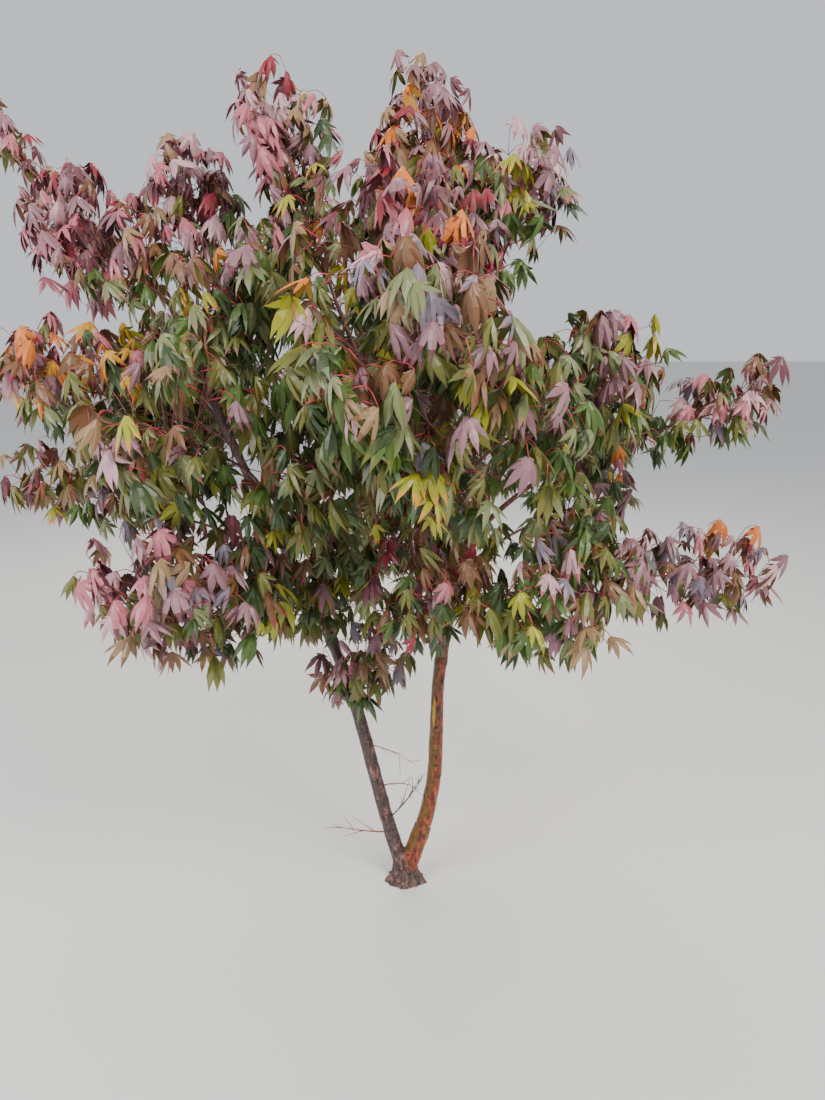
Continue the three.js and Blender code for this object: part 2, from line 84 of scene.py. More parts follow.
# Limbs: name, stem, fraction of the stem's length, heading, rise at the middle, how much the rise
# grows from foot to tip, length, then the reach of its mass, the mass's half width and its tint
LIMBS = [
    ("low_left_front", "left", 0.43, 244, 38, -34, 260, 520, 180, "mauve"),
    ("low_left", "left", 0.555, 183, 29, -20, 280, 480, 115, "mauve"),
    ("left_front", "left", 0.64, 263, 40, -34, 290, 440, 190, "mauve"),
    ("left", "left", 0.77, 187, 36, -30, 110, 470, 165, "rose"),
    ("upper_left", "left", 1, 160, 35, 0, 0, 440, 160, "rose"),
    ("left_shoot", "left", 0.9, 156, 45, 10, 570, 330, 80, "rose"),
    ("left_peak", "left", 0.87, 110, 68, 16, 240, 370, 120, "rose"),
    ("left_inner_peak", "left", 0.84, 343, 60, -14, 130, 410, 155, "brown"),
    ("left_back", "left", 0.8, 117, 13, -24, 320, 520, 230, "olive"),
    ("left_middle", "left", 0.6, 284, 43, -34, 270, 420, 190, "olive"),
    ("peak", "right", 1, 285, 86, 0, 0, 380, 165, "brown"),
    ("peak_shoot", "right", 0.86, 116, 78, 20, 540, 220, 90, "brown"),
    ("top_left", "right", 0.6, 184, 64, 16, 730, 420, 150, "rose"),
    ("top_right", "right", 0.8, 354, 66, 6, 300, 380, 145, "mauve"),
    ("front_top", "right", 0.88, 263, 26, -24, 260, 430, 190, "brown"),
    ("front", "right", 0.72, 260, 25, -30, 520, 420, 200, "olive"),
    ("right_front", "right", 0.57, 273, 36, -30, 490, 430, 200, "olive"),
    ("right", "right", 0.64, 319, 48, -30, 250, 430, 165, "mauve"),
    ("far_right", "right", 0.55, 359, 37, -34, 520, 475, 115, "orange"),
    ("low_right", "right", 0.515, 19, 31, -30, 260, 400, 125, "orange"),
    ("low_far_right", "right", 0.45, 353, 18, -20, 410, 465, 130, "orange"),
    ("low_right_front", "right", 0.425, 294, 35, -30, 320, 430, 180, "mauve"),
    ("back_right", "right", 0.62, 51, 20, -24, 400, 470, 190, "olive"),
    ("back_low", "right", 0.48, 100, 20, -30, 220, 460, 200, "olive"),
    ("back_top", "right", 0.77, 94, 55, -16, 440, 440, 210, "brown"),
    ("back", "right", 0.67, 111, 23, -24, 440, 480, 230, "olive"),
    ("low_front", "right", 0.38, 267, 44, -30, 300, 340, 150, "brown"),
    ("low_sprig", "left", 0.35, 292, 39, -20, 0, 300, 110, "mauve"),
    ("low_middle", "left", 0.45, 271, 49, -20, 0, 480, 150, "mauve"),
    ("left_upper_front", "left", 0.86, 302, 47, -20, 0, 480, 160, "brown"),
]
LIMB_KEYS = ("name", "stem", "at", "heading", "rise", "lift", "length", "reach", "spread", "tint")
BOUGH_BOW = 14
BOUGH_STEPS = 5
BOUGH_FOOT_RADIUS, BOUGH_FOOT_GROWTH, BOUGH_TIP_RADIUS = 4.5, 0.01, 3.4

# Masses of foliage, by the rule of the solids: twigs stand at nodes of the mass's own stem
MASS_SEED, SEED_STEP = 1000, 17
SEED_SHIFTS = {"low_left_front": 7, "left": 7, "front": 7, "top_right": 7}
SPRAY_REACH, SPRAY_DROOP, SPRAY_STEPS = 0.68, 6, 3
SPRAY_RADII = (3.3, 1.5)
SPACE_SLACK, SPACE_HEIGHT = 1.12, 0.9
UNDERSIDE_SHARE = 0.82
TWIGS_PER_AREA, FEWEST_NODES = 2.15e-4, 5
TWIG_LIFT = 0.22
TWIG_ANGLE, TWIG_ANGLE_SPREAD = 55, 16
TWIG_ROLLS, TWIG_ROLL_SPREAD = (6, 64), 30
TWIG_REACHES, TWIG_REACH_SPREAD = (0.85, 0.5, 0.7), 0.3
TWIG_STAGGER = 7

# Finer growth: more nodes on each stem, twigs that run on where the solids have one large leaf, and
# twiglets at every second node of a twig. Twigs bend down, and end where the mass's space ends.
NODE_FACTOR = 1.5
TWIG_RUN_ON = 68
TIP_TWIG_REACH = 0.24
TWIG_STEP, FEWEST_STEPS = 26, 3
SHORTEST_IN_STEPS = 2
TWIG_BEND = 0.55
TWIG_RADII = (1.7, 0.8)
TWIGLET_SHARE, TWIGLET_THINNING = 0.52, 0.7
SHORTEST_WITH_TWIGLETS = 95
NODE_SPACING = 44
FIRST_NODE = 0.26
NODE_ROLLS, NODE_ROLL_SPREAD = (14, 66), 18
STALK_ANGLE, STALK_ANGLE_SPREAD = 52, 14
LEAF_SPACING = 30

# Short leafed twigs on the boughs that cross the inside of the crown
CLOTHED = ("left_back", "back_right", "back_low", "back_top", "back", "peak_shoot", "top_left")
SPUR_FROM, SPUR_TO, SPUR_NODES = 0.34, 0.94, 6
SPUR_REACH, SPUR_ANGLE, SPUR_HEIGHT = 175, 62, 150

# Stretches of limb that show between the leaves from the front: a stem's side or a limb's name, from
# and to as fractions of its length (a limb's own stem in its mass runs from 1 to 2), and half width
SHOWN_LIMBS = [
    ("left", 0.75, 0.9, 44), ("left_bough", 0.3, 1.7, 34), ("top_left_bough", 0.7, 1.5, 34),
    ("right_bough", 0.5, 1.4, 32),
]
SHOWN_STEP = 22

# Pieces of the crown: each sector's leaves, stalks and twigs are joined, each kind apart
SECTORS = {
    "left_low": (("low_left_front", "low_left", "low_middle", "low_sprig"), "leaves_mauve"),
    "left": (("left_front", "left", "left_middle"), "leaves_mauve"),
    "left_high": (("upper_left", "left_shoot", "left_peak", "left_inner_peak"), "leaves_rose"),
    "inner": (("left_upper_front", "left_back"), "leaves_brown"),
    "top": (("peak", "peak_shoot", "top_left", "top_right", "front_top"), "leaves_brown"),
    "front": (("front", "right_front", "low_front", "low_right_front"), "leaves_olive"),
    "right": (("right", "far_right", "low_right", "low_far_right"), "leaves_orange"),
    "back_low": (("back_right", "back_low"), "leaves_olive"),
    "back_high": (("back_top", "back"), "leaves_brown"),
}

# Leaf tints, as the colours they show, and how a spray draws its own two from them. Sprays take
# sunlit tints where they are far enough out and up, and green ones in the shade of the crown. This is
# partly the leaves' own colour, which turns in the sun, and partly painted light: paler tints as
# painted light out and up, and darker greens as painted shade within the crown.
TINTS = {
    "mauve": 0x866068, "pale": 0xB28A90, "pink": 0xA8606A,
    "grey": 0x766A78, "plum": 0x60343C, "crimson": 0x822630,
    "bronze": 0x6E4A2E, "tan": 0x886C4C, "olive": 0x5E5E22,
    "sage": 0x6A7046, "green": 0x42581C, "dark": 0x2C3E16,
    "lime": 0x8C8A1E, "orange": 0xC46A24, "gold": 0xB6842A,
}
SUN_MIXES = {
    "mauve": ("mauve", "mauve", "pale", "grey", "pink", "plum", "tan", "bronze", "olive"),
    "rose": ("pink", "mauve", "pink", "plum", "pale", "crimson", "bronze", "tan", "mauve"),
    "brown": ("plum", "bronze", "mauve", "crimson", "pink", "orange", "tan", "plum", "mauve"),
    "olive": ("mauve", "grey", "sage", "bronze", "pale", "olive", "mauve", "tan"),
    "orange": ("mauve", "grey", "mauve", "pale", "orange", "bronze", "mauve", "pink"),
    "amber": ("gold", "orange", "tan", "pink", "mauve", "bronze", "gold", "mauve", "olive"),
}
OWN_MIXES = {"left": "amber", "left_front": "olive", "low_right_front": "olive", "far_right": "mauve"}
# Green tints within the crown: partly the leaves' own green, and partly painted shade in the darker ones
SHADE_MIX = (
    "olive", "green", "dark", "sage", "green", "olive",
    "dark", "bronze", "green", "lime", "sage", "olive",
)
TINTS_OF_SPRAY = 2
# How far out and how high in its mass a spray must be to take the sunlit tints, which are partly painted
# light
SUN_FROM = {"mauve": 0.82, "rose": 0.7, "brown": 0.78, "olive": 0.95, "orange": 0.78, "amber": 0.74}
SUN_OF_HEIGHT, SUN_SPREAD = 0.24, 0.2
CROWN_CENTRE, CROWN_AXES = Vector((-20, 0, 1330)), Vector((930, 800, 800))
# For each tint: the tint of the leaf's underside, and that of its tips where they have turned
UNDER_AND_TIPS = {
    "mauve": ("bronze", "plum"), "pale": ("tan", "pink"), "pink": ("plum", "plum"),
    "grey": ("olive", "mauve"), "plum": ("bronze", "crimson"), "crimson": ("plum", "plum"),
    "bronze": ("olive", "crimson"), "tan": ("olive", "bronze"), "olive": ("olive", "bronze"),
    "sage": ("green", "tan"), "green": ("green", "olive"), "dark": ("dark", "green"),
    "lime": ("lime", "gold"), "orange": ("gold", "crimson"), "gold": ("lime", "orange"),
}
TIPPED_SHARE = 0.35


# Growth of the limbs


def seeded(seed):
    """Numbers from 0 to 1 that are the same on each run."""
    state = seed

    def draw():
        nonlocal state
        state = (1664525 * state + 1013904223) % 2**32
        return state / 2**32

    return draw


def direction(heading, rise):
    h, r = math.radians(heading), math.radians(rise)
    return Vector((math.cos(h) * math.cos(r), math.sin(h) * math.cos(r), math.sin(r)))


def turned(start, towards, angle):
    return start * math.cos(angle) + towards * math.sin(angle)


def limb_path(start, heading, bow, rise, lift, length, steps):
    points = [start.copy()]
    for i in range(steps):
        t = (i + 0.5) / steps - 0.5
        points.append(points[-1] + direction(heading + bow * t, rise + lift * t) * (length / steps))
    return points


def stem_path(foot, heading, lean, sway, sways, phase, length, **_):
    points = [Vector(foot)]
    for i in range(STEM_STEPS):
        t = (i + 0.5) / STEM_STEPS
        swing = sway * math.sin(2 * math.pi * (sways * t + phase))
        rise = 90 - (lean[0] + (lean[1] - lean[0]) * t + swing)
        points.append(points[-1] + direction(heading, rise) * (length / STEM_STEPS))
    return points


def point_at(points, fraction):
    place = fraction * (len(points) - 1)
    i = min(int(place), len(points) - 2)
    return points[i].lerp(points[i + 1], place - i)


def tangent_at(points, i):
    return (points[min(i + 1, len(points) - 1)] - points[max(i - 1, 0)]).normalized()


def smoothed(points, parts):
    """A smooth curve through the points, with so many parts between each two."""
    ends = [points[0] * 2 - points[1], *points, points[-1] * 2 - points[-2]]
    curve = []
    for i in range(1, len(ends) - 2):
        a, b, c, d = ends[i - 1:i + 3]
        for k in range(parts):
            t = k / parts
            curve.append(0.5 * (2 * b + (c - a) * t + (2 * a - 5 * b + 4 * c - d) * t * t
                                + (3 * b - a - 3 * c + d) * t**3))
    return [*curve, points[-1].copy()]


def tapered(foot, tip, count, power=1.0):
    return [foot + (tip - foot) * (i / (count - 1)) ** power for i in range(count)]


limbs = [dict(zip(LIMB_KEYS, row), index=index) for index, row in enumerate(LIMBS)]
PATHS = {side: stem_path(**size) for side, size in STEMS.items()}


# Meshes

def rolled_up(rings):
    """A closed form through rings of places: a grid rolled up and sewn along its seam, with a fan from
    the first corner over each end. Gives the places and the corners of its triangles."""
    sheet = bmesh.new()
    sides = len(rings[0])
    bmesh.ops.create_grid(sheet, x_segments=sides, y_segments=len(rings) - 1, size=1)
    vertices = sheet.verts[:]
    rows = [vertices[start:start + sides + 1] for start in range(0, len(vertices), sides + 1)]
    for ring, row in zip(rings, rows):
        for place, vertex in zip([*ring, ring[0]], row):
            vertex.co = place
    bmesh.ops.weld_verts(sheet, targetmap={row[sides]: row[0] for row in rows})
    foot, tip = rows[0], rows[-1]
    for first, *rest in ([foot[0], *foot[sides - 1:0:-1]], tip[:sides]):
        for corner, beside in zip(rest, rest[1:]):
            sheet.faces.new((first, corner, beside))
    bmesh.ops.triangulate(sheet, faces=sheet.faces[:], quad_method="FIXED")
    sheet.verts.index_update()
    places = np.array([vertex.co[:] for vertex in sheet.verts])
    corners = np.array([[vertex.index for vertex in face.verts] for face in sheet.faces])
    sheet.free()
    return places, corners


def tube(points, radii, sides, bumps=None):
    """A closed tube along the points. bumps gives an extra radius from a place."""
    side = tangent_at(points, 0).orthogonal().normalized()
    rings = []
    for i, (point, radius) in enumerate(zip(points, radii)):
        tangent = tangent_at(points, i)
        side = (side - tangent * side.dot(tangent)).normalized()
        third = tangent.cross(side)
        ring = []
        for k in range(sides):
            out = turned(side, third, 2 * math.pi * k / sides)
            place = point + out * radius
            ring.append(place + out * bumps(place) if bumps else place)
        rings.append(ring)
    return rolled_up(rings)


class Gathered:
    """Triangles of many small shapes, joined into one mesh."""

    def __init__(self):
        self.places, self.corners, self.looks = [], [], []
        self.count = 0

    def add(self, places, corners, looks=0):
        self.places.append(places)
        self.corners.append(corners + self.count)
        self.looks.append(np.broadcast_to(looks, len(corners)))
        self.count += len(places)

    def mesh(self, name):
        mesh = bpy.data.meshes.new(name)
        places, corners = np.concatenate(self.places) * MM, np.concatenate(self.corners)
        mesh.from_pydata(places.tolist(), [], corners.tolist())
        mesh.polygons.foreach_set("material_index", np.concatenate(self.looks).astype(np.int32))
        return mesh


def add_piece(name, mesh, materials, slot, nodes=(), smooth=True):
    piece = bpy.data.objects.new(name, mesh)
    bpy.context.scene.collection.objects.link(piece)
    for material in materials:
        mesh.materials.append(material)
    mesh.polygons.foreach_set("use_smooth", [smooth] * len(mesh.polygons))
    mesh.update()
    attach(piece, "root")
    if nodes:
        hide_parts(*nodes)


# Colours and bark

# Where in the noise the grain's colours lie, and where a wash and a mark set in
GRAIN_RANGE, WASH_RANGE, MARK_RANGE = (0.36, 0.64), (0.5, 0.6), (0.06, 0.26)
GRAIN_DETAIL, WASH_DETAIL = 8, 6
# Spots: width of their edge and strength, then how ragged they are, by a noise finer than the grain
SPOT_EDGE, SPOT_STRENGTH = 0.08, 0.8
SPOT_RAGGED, SPOT_FINENESS, SPOT_DETAIL = 0.7, 4, 2
MARK_RAGGED = 0.25
# Depth of the relief in metres
RELIEF_DEPTH = 0.004

# Knobs where shoots broke off: stem, fraction of its length, heading, rise and width in mm
KNOBS = [
    ("right", 0.262, 262, 6, 7), ("right", 0.192, 285, 4, 8), ("right", 0.13, 215, 4, 7),
    ("right", 0.34, 300, 4.5, 7), ("left", 0.19, 330, 4, 8), ("left", 0.29, 265, 3.5, 8),
    ("left", 0.13, 240, 3, 8),
]
# The share of the stem's radius at which a knob's centre lies
KNOB_SINK = 0.84
KNOB_BLOT, KNOB_BLOT_STRENGTH = 6.5, 0.85
# Ring scars: how far up each stem
RING_SCARS = {
    "left": (0.07, 0.125, 0.24, 0.31, 0.37),
    "right": (0.078, 0.168, 0.3, 0.385),
}
SCAR_RISE, SCAR_WIDTH = 0.8, 3.5
SCAR_BLOT, SCAR_BLOT_REACH, SCAR_BLOT_STRENGTH = 4, 60, 0.4
# How much further up a stem the way along it is taken
NEXT_PLACE = 0.02


def linear(shown):
    """The linear colour, with its alpha, of a colour given as it shows."""
    channels = [(shown >> shift & 255) / 255 for shift in (16, 8, 0)]
    return [(c / 12.92 if c <= 0.04 else ((c + 0.055) / 1.055) ** 2.4) for c in channels] + [1]


def plain(name, shown, roughness):
    material = bpy.data.materials.new(name)
    material.use_nodes = True
    shader = material.node_tree.nodes["Principled BSDF"]
    shader.inputs["Base Color"].default_value = linear(shown)
    shader.inputs["Roughness"].default_value = roughness
    material.diffuse_color = linear(shown)
    return material


def knob_place(side, at, heading):
    return point_at(PATHS[side], at) + direction(heading, 0) * (KNOB_SINK * STEMS[side]["radii"][0])


def marks_of(side, knob_colour, scar_colour):
    """Dark blots on a stem's knobs and round its ring scars, in metres."""
    marks = [dict(place=knob_place(name, at, heading) * MM, turn=(0, 0, 0), size=[KNOB_BLOT * MM] * 3,
                  colour=knob_colour, strength=KNOB_BLOT_STRENGTH)
             for name, at, heading, _, _ in KNOBS if name == side]
    for at in RING_SCARS[side]:
        place = point_at(PATHS[side], at)
        way = point_at(PATHS[side], at + NEXT_PLACE) - place
        size = Vector((SCAR_BLOT_REACH, SCAR_BLOT_REACH, SCAR_BLOT)) * MM
        marks.append(dict(place=place * MM, turn=way.to_track_quat("Z", "Y").to_euler(), size=size,
                          colour=scar_colour, strength=SCAR_BLOT_STRENGTH))
    return marks


def bark(name, colours, roughness, grain, bump, wash=None, spots=None, marks=()):
    """Bark: grain drawn out along the limb between colours, and relief.

    A wash lays another colour over it in blots, most on the side that its side vector points to, and
    more by the metre along its grade vector. Spots are small, and each mark is one blot, in metres.
    """
    material = plain(name, colours[0], roughness)
    nodes, links = material.node_tree.nodes, material.node_tree.links
    shader = nodes["Principled BSDF"]
    coordinates = nodes.new("ShaderNodeTexCoord")
    place, normal = coordinates.outputs["Object"], coordinates.outputs["Normal"]

    def node(kind, inputs, output, **settings):
        """The output of a new node, with its inputs linked to a socket or set to a value."""
        made = nodes.new("ShaderNode" + kind)
        for key, value in settings.items():
            setattr(made, key, value)
        for key, value in inputs.items():
            if isinstance(value, bpy.types.NodeSocket):
                links.new(value, made.inputs[key])
            else:
                made.inputs[key].default_value = value
        return made.outputs[output]

    def stretched(stretch):
        return node("Mapping", {"Vector": place, "Scale": (1, 1, stretch)}, "Vector")

    def noise_of(scale, stretch, detail):
        return node("TexNoise", {"Vector": stretched(stretch), "Scale": scale, "Detail": detail}, "Fac")

    def sum_of(first, second, share=1.0):
        return node("Math", {0: second, 1: share, 2: first}, "Value", operation="MULTIPLY_ADD")

    def part_along(vector, way):
        return node("VectorMath", {0: vector, 1: way}, "Value", operation="DOT_PRODUCT")

    def risen(amount, low, high, strength=1.0):
        limits = {"From Min": low, "From Max": high, "To Max": strength}
        return node("MapRange", {"Value": amount, **limits}, "Result")

    def laid_over(under, over, share):
        return node("Mix", {"Factor": share, "A": under, "B": linear(over)}, "Result", data_type="RGBA")

    def blot_of(mark):
        box = {"Location": mark["place"], "Rotation": mark["turn"], "Scale": mark["size"]}
        within = node("Mapping", {"Vector": place, **box}, "Vector", vector_type="TEXTURE")
        return node("TexGradient", {"Vector": within}, "Fac", gradient_type="SPHERICAL")

    grain_fac = noise_of(grain["scale"], grain["stretch"], GRAIN_DETAIL)
    ramp = nodes.new("ShaderNodeValToRGB")
    first, last = ramp.color_ramp.elements
    first.position, last.position = GRAIN_RANGE
    first.color, last.color = linear(colours[0]), linear(colours[-1])
    for k, colour in enumerate(colours[1:-1]):
        share = (k + 1) / (len(colours) - 1)
        middle = ramp.color_ramp.elements.new(GRAIN_RANGE[0] + (GRAIN_RANGE[1] - GRAIN_RANGE[0]) * share)
        middle.color = linear(colour)
    links.new(grain_fac, ramp.inputs["Fac"])
    colour, height = ramp.outputs["Color"], grain_fac

    if wash:
        blots = noise_of(wash["scale"], wash["stretch"], WASH_DETAIL)
        blots = sum_of(blots, part_along(normal, wash["side"]))
        blots = sum_of(blots, part_along(place, wash["grade"]))
        colour = laid_over(colour, wash["colour"], risen(blots, *WASH_RANGE, wash["strength"]))
    if spots:
        cells = {"Vector": stretched(spots["stretch"]), "Scale": spots["scale"]}
        roughening = noise_of(SPOT_FINENESS * grain["scale"], grain["stretch"], SPOT_DETAIL)
        ragged = sum_of(node("TexVoronoi", cells, "Distance"), roughening, SPOT_RAGGED)
        rim = spots["size"] + SPOT_RAGGED / 2
        spotted = risen(ragged, rim + SPOT_EDGE, rim, SPOT_STRENGTH)
        colour = laid_over(colour, spots["colour"], spotted)
        height = sum_of(height, spotted, spots["rise"])
    for mark in marks:
        ragged = sum_of(blot_of(mark), grain_fac, MARK_RAGGED)
        share = risen(ragged, *(edge + MARK_RAGGED / 2 for edge in MARK_RANGE), mark["strength"])
        colour = laid_over(colour, mark["colour"], share)
    links.new(colour, shader.inputs["Base Color"])
    relief = node("Bump", {"Height": height, "Strength": bump, "Distance": RELIEF_DEPTH}, "Normal")
    links.new(relief, shader.inputs["Normal"])
    return material


OLD_BARK = bark(
    "old_bark", [0x2A1C1A, 0x583832, 0x886058], 0.6,
    grain=dict(scale=110, stretch=0.4), bump=1,
    wash=dict(colour=0x403634, scale=36, stretch=0.6, side=(-0.05, 0, 0), grade=(0, 0, 0.26),
              strength=0.75),
    spots=dict(scale=80, stretch=1.3, size=0.22, colour=0x201616, rise=0.5),
    marks=marks_of("left", 0x261818, 0x342422),
)
# A yellow split in the copper bark, a little above half a metre
SPLIT = dict(place=(0.077, 0.0, 0.515), turn=(0, 0.03, 0), size=(0.0055, 0.012, 0.052),
             colour=0xB0881C, strength=1)
COPPER_BARK = bark(
    "copper_bark", [0x34120E, 0x742C12, 0xA64C16], 0.32,
    grain=dict(scale=100, stretch=0.45), bump=0.7,
    wash=dict(colour=0x5C4612, scale=40, stretch=0.45, side=(-0.14, -0.02, 0),
              grade=(0, 0, 0.1), strength=0.75),
    spots=dict(scale=75, stretch=2.4, size=0.2, colour=0x2C1410, rise=0.6),
    marks=[*marks_of("right", 0x2C1612, 0x4E2618), SPLIT],
)
BOUGH_BARK = bark("bough_bark", [0x361E1A, 0x5E322A, 0x7C4E3E], 0.55,
                  grain=dict(scale=90, stretch=0.4), bump=0.7)
DEAD_BARK = bark("dead_bark", [0x4A403C, 0x766A62, 0x9C9086], 0.9,
                 grain=dict(scale=90, stretch=0.3), bump=0.8)
TWIG = plain("twig_bark", 0x68342E, 0.5)
STALK = plain("leaf_stalk", 0xB43848, 0.4)
LEAF_LOOKS = {name: plain("leaf_" + name, shown, 0.42) for name, shown in TINTS.items()}
LOOK_ORDER = list(LEAF_LOOKS)
RED_TWIG = plain("red_twig", 0x8A3A36, 0.5)
STEM_LOOKS = {"left": (OLD_BARK, "old_bark"), "right": (COPPER_BARK, "copper_bark")}


# Stems, foot and boughs

# Relief of bark: weight of each kind of wave, and its width and length in mm
BARK_WAVES = ((0.6, 7, 45), (1, 22, 34), (0.35, 3.5, 16))
STEM_RELIEF, FOOT_RELIEF, BOUGH_RELIEF = 1.2, 2.2, 0.4
STEM_SIDES, STEM_PARTS = 56, 34
STEM_BARK_SHARE = 0.96
STEM_BARK_SEEDS = {"left": 14.8, "right": 18.5}
# A stem starts this much thinner, inside the foot, and reaches its full width over this length
FOOT_INSET, FOOT_INSET_LENGTH = 4.5, 62
# A swelling just below each limb
COLLAR_RISE, COLLAR_WIDTH, COLLAR_BELOW = 2.4, 12, 0.004

# The foot: rings that crowd towards the ground, then the turns of the rings of the rounded fork
FOOT_SIDES, FOOT_RINGS, FOOT_RING_CROWDING = 90, 14, 1.4
FORK_TURNS = (0.35, 0.7, 1.05, 1.35)
# The feet of the stems that are melted into the foot, by shares of a stem's radius
STEM_FOOT_PARTS, STEM_FOOT_RINGS, STEM_FOOT_SIDES = 30, 26, 32
STEM_FOOT_SHARE, STEM_FOOT_TIP_SHARE = 1.06, 0.96
FOOT_VOXEL, FOOT_SMOOTHING, FOOT_BARK_SEED = 0.0022, 9, 9.1
# The cut stays smooth up to this height
CUT_BAND = 4
# The copper bark of the right stem starts above this height, and higher towards the other stem
COPPER_FROM, COPPER_CLIMB, COPPER_FADE, COPPER_RAGGED, COPPER_NOISE = 36, 40, 12, 16, 12

BOUGH_PARTS, BOUGH_SIDES, BOUGH_BARK_SHARE = 7, 10, 0.94
BOUGH_COLLAR, BOUGH_COLLAR_LENGTH = 0.7, 22

# Thin shoots at the foot, each with crooked side shoots left and right by turns: name, fraction of the
# left stem's length, heading, rise, lift, length, radii, side shoots and their angle, look and slot
THIN_SHOOTS = [
    ("dead_shoot", 0.085, 338, 56, 14, 190, (3.2, 1.5), 7, 50, DEAD_BARK, "dead_bark"),
    ("red_shoot", 0.06, 188, 12, 14, 165, (2.6, 1.3), 4, 34, RED_TWIG, "twig_bark"),
    ("arching_shoot", 0.15, 345, 6, -60, 125, (2, 1), 3, 40, RED_TWIG, "twig_bark"),
    ("upper_shoot", 0.235, 338, -14, -34, 150, (1.8, 0.9), 4, 44, RED_TWIG, "twig_bark"),
]
SHOOTS_WITH_A_SOLID = ("dead_shoot", "red_shoot")
SHOOT_SEED, SHOOT_STEPS, SHOOT_PARTS, SHOOT_SIDES, SHOOT_TIP = 500, 4, 6, 8, 0.5
SIDE_SHOOT_SPREAD, SIDE_SHOOT_FROM, SIDE_SHOOT_TO = 22, 0.28, 0.84
SIDE_SHOOT_SHARE, SIDE_SHOOT_SHORTENING, SIDE_SHOOT_SHARE_SPREAD = 0.42, 0.26, 0.14
SIDE_SHOOT_SIDES, SIDE_SHOOT_TIP = 6, 0.35

wood_places, wood_radii = [], []


def keep_clear(points, radii):
    """Remembers a limb, so that leaves stay out of it."""
    wood_places.extend(points)
    wood_radii.extend(radii)


def bark_bumps(depth, seed, rings=(), knobs=()):
    """Relief of a limb: long ridges, lumps and cracks, swellings round it (place, way along it, rise
    and width) and knobs (place, rise and width)."""
    shift = Vector((seed, 0, 0))

    def bumps(place):
        waves = sum(weight * noise.noise(Vector((place.x / width, place.y / width, place.z / length)) + shift)
                    for weight, width, length in BARK_WAVES)
        swell = sum(rise * math.exp(-((place - at).dot(way) / width) ** 2) for at, way, rise, width in rings)
        swell += sum(rise * math.exp(-((place - at).length / width) ** 2) for at, rise, width in knobs)
        return depth * waves + swell

    return bumps


def ring_at(path, fraction, rise, width):
    place = point_at(path, fraction)
    return place, (point_at(path, min(fraction + NEXT_PLACE, 1)) - place).normalized(), rise, width


def make_stem(side, size):
    path = PATHS[side]
    forks = [limb["at"] for limb in limbs if limb["stem"] == side and limb["at"] < 1]
    rings = [ring_at(path, fraction - COLLAR_BELOW, COLLAR_RISE, COLLAR_WIDTH) for fraction in forks]
    rings += [ring_at(path, fraction, SCAR_RISE, SCAR_WIDTH) for fraction in RING_SCARS[side]]
    knobs = [(knob_place(name, at, heading), rise, width)
             for name, at, heading, rise, width in KNOBS if name == side]
    curve = smoothed(path, STEM_PARTS)
    lengths = tapered(0, size["length"], len(curve))
    radii = [STEM_BARK_SHARE * radius - FOOT_INSET * math.exp(-((length / FOOT_INSET_LENGTH) ** 2))
             for radius, length in zip(tapered(*size["radii"], len(curve), size["taper"]), lengths)]
    keep_clear(curve, radii)
    stem = Gathered()
    bumps = bark_bumps(STEM_RELIEF, STEM_BARK_SEEDS[side], rings, knobs)
    stem.add(*tube(curve, radii, STEM_SIDES, bumps))
    look, slot = STEM_LOOKS[side]
    add_piece("stem_%s_bark" % side, stem.mesh("stem_" + side), [look], slot, ["stem_" + side])


def foot_ring(height, narrowing):
    """A ring of the flare, with root toes that fade upwards."""
    flare = math.exp(-height / FLARE_FADE)
    ring = []
    for k in range(FOOT_SIDES):
        angle = 2 * math.pi * k / FOOT_SIDES
        lobe = 1 + flare * sum(depth * math.cos(toes * angle + turn) for toes, depth, turn in FOOT_TOES)
        width = (NECK_WIDTH + (FOOT_WIDTH - NECK_WIDTH) * flare) * lobe * narrowing
        depth = (NECK_DEPTH + (FOOT_DEPTH - NECK_DEPTH) * flare) * lobe * narrowing
        ring.append(Vector((width * math.sin(angle), -depth * math.cos(angle), height)))
    return ring


def melted(draft_mesh):
    """The forms of a mesh melted together by a voxel remesh, and smoothed."""
    draft = bpy.data.objects.new("draft", draft_mesh)
    bpy.context.scene.collection.objects.link(draft)
    remesh = draft.modifiers.new("remesh", "REMESH")
    remesh.mode = "VOXEL"
    remesh.voxel_size = FOOT_VOXEL
    draft.modifiers.new("smooth", "SMOOTH").iterations = FOOT_SMOOTHING
    graph = bpy.context.evaluated_depsgraph_get()
    mesh = bpy.data.meshes.new_from_object(draft.evaluated_get(graph))
    bpy.data.objects.remove(draft)
    return mesh


def foot_mesh():
    """The flare and the feet of both stems in one, with the relief of the bark."""
    draft = Gathered()
    heights = tapered(0, FOOT_HEIGHT, FOOT_RINGS + 1, FOOT_RING_CROWDING)
    rings = [foot_ring(height, 1) for height in heights]
    rings += [foot_ring(FOOT_HEIGHT + FORK_HEIGHT * math.sin(turn), math.cos(turn)) for turn in FORK_TURNS]
    draft.add(*rolled_up(rings))
    for side, size in STEMS.items():
        curve = smoothed(PATHS[side], STEM_FOOT_PARTS)[:STEM_FOOT_RINGS]
        radius = size["radii"][0]
        radii = tapered(STEM_FOOT_SHARE * radius, STEM_FOOT_TIP_SHARE * radius, STEM_FOOT_RINGS)
        draft.add(*tube(curve, radii, STEM_FOOT_SIDES))
    mesh = melted(draft.mesh("draft"))
    bumps = bark_bumps(FOOT_RELIEF, FOOT_BARK_SEED)
    moved = []
    for vertex in mesh.vertices:
        place = vertex.co / MM
        if place.z > CUT_BAND:
            place += vertex.normal * bumps(place)
        moved.append((place.x * MM, place.y * MM, max(place.z, 0) * MM))
    mesh.vertices.foreach_set("co", np.array(moved, np.float32).ravel())
    mesh.update()
    return mesh


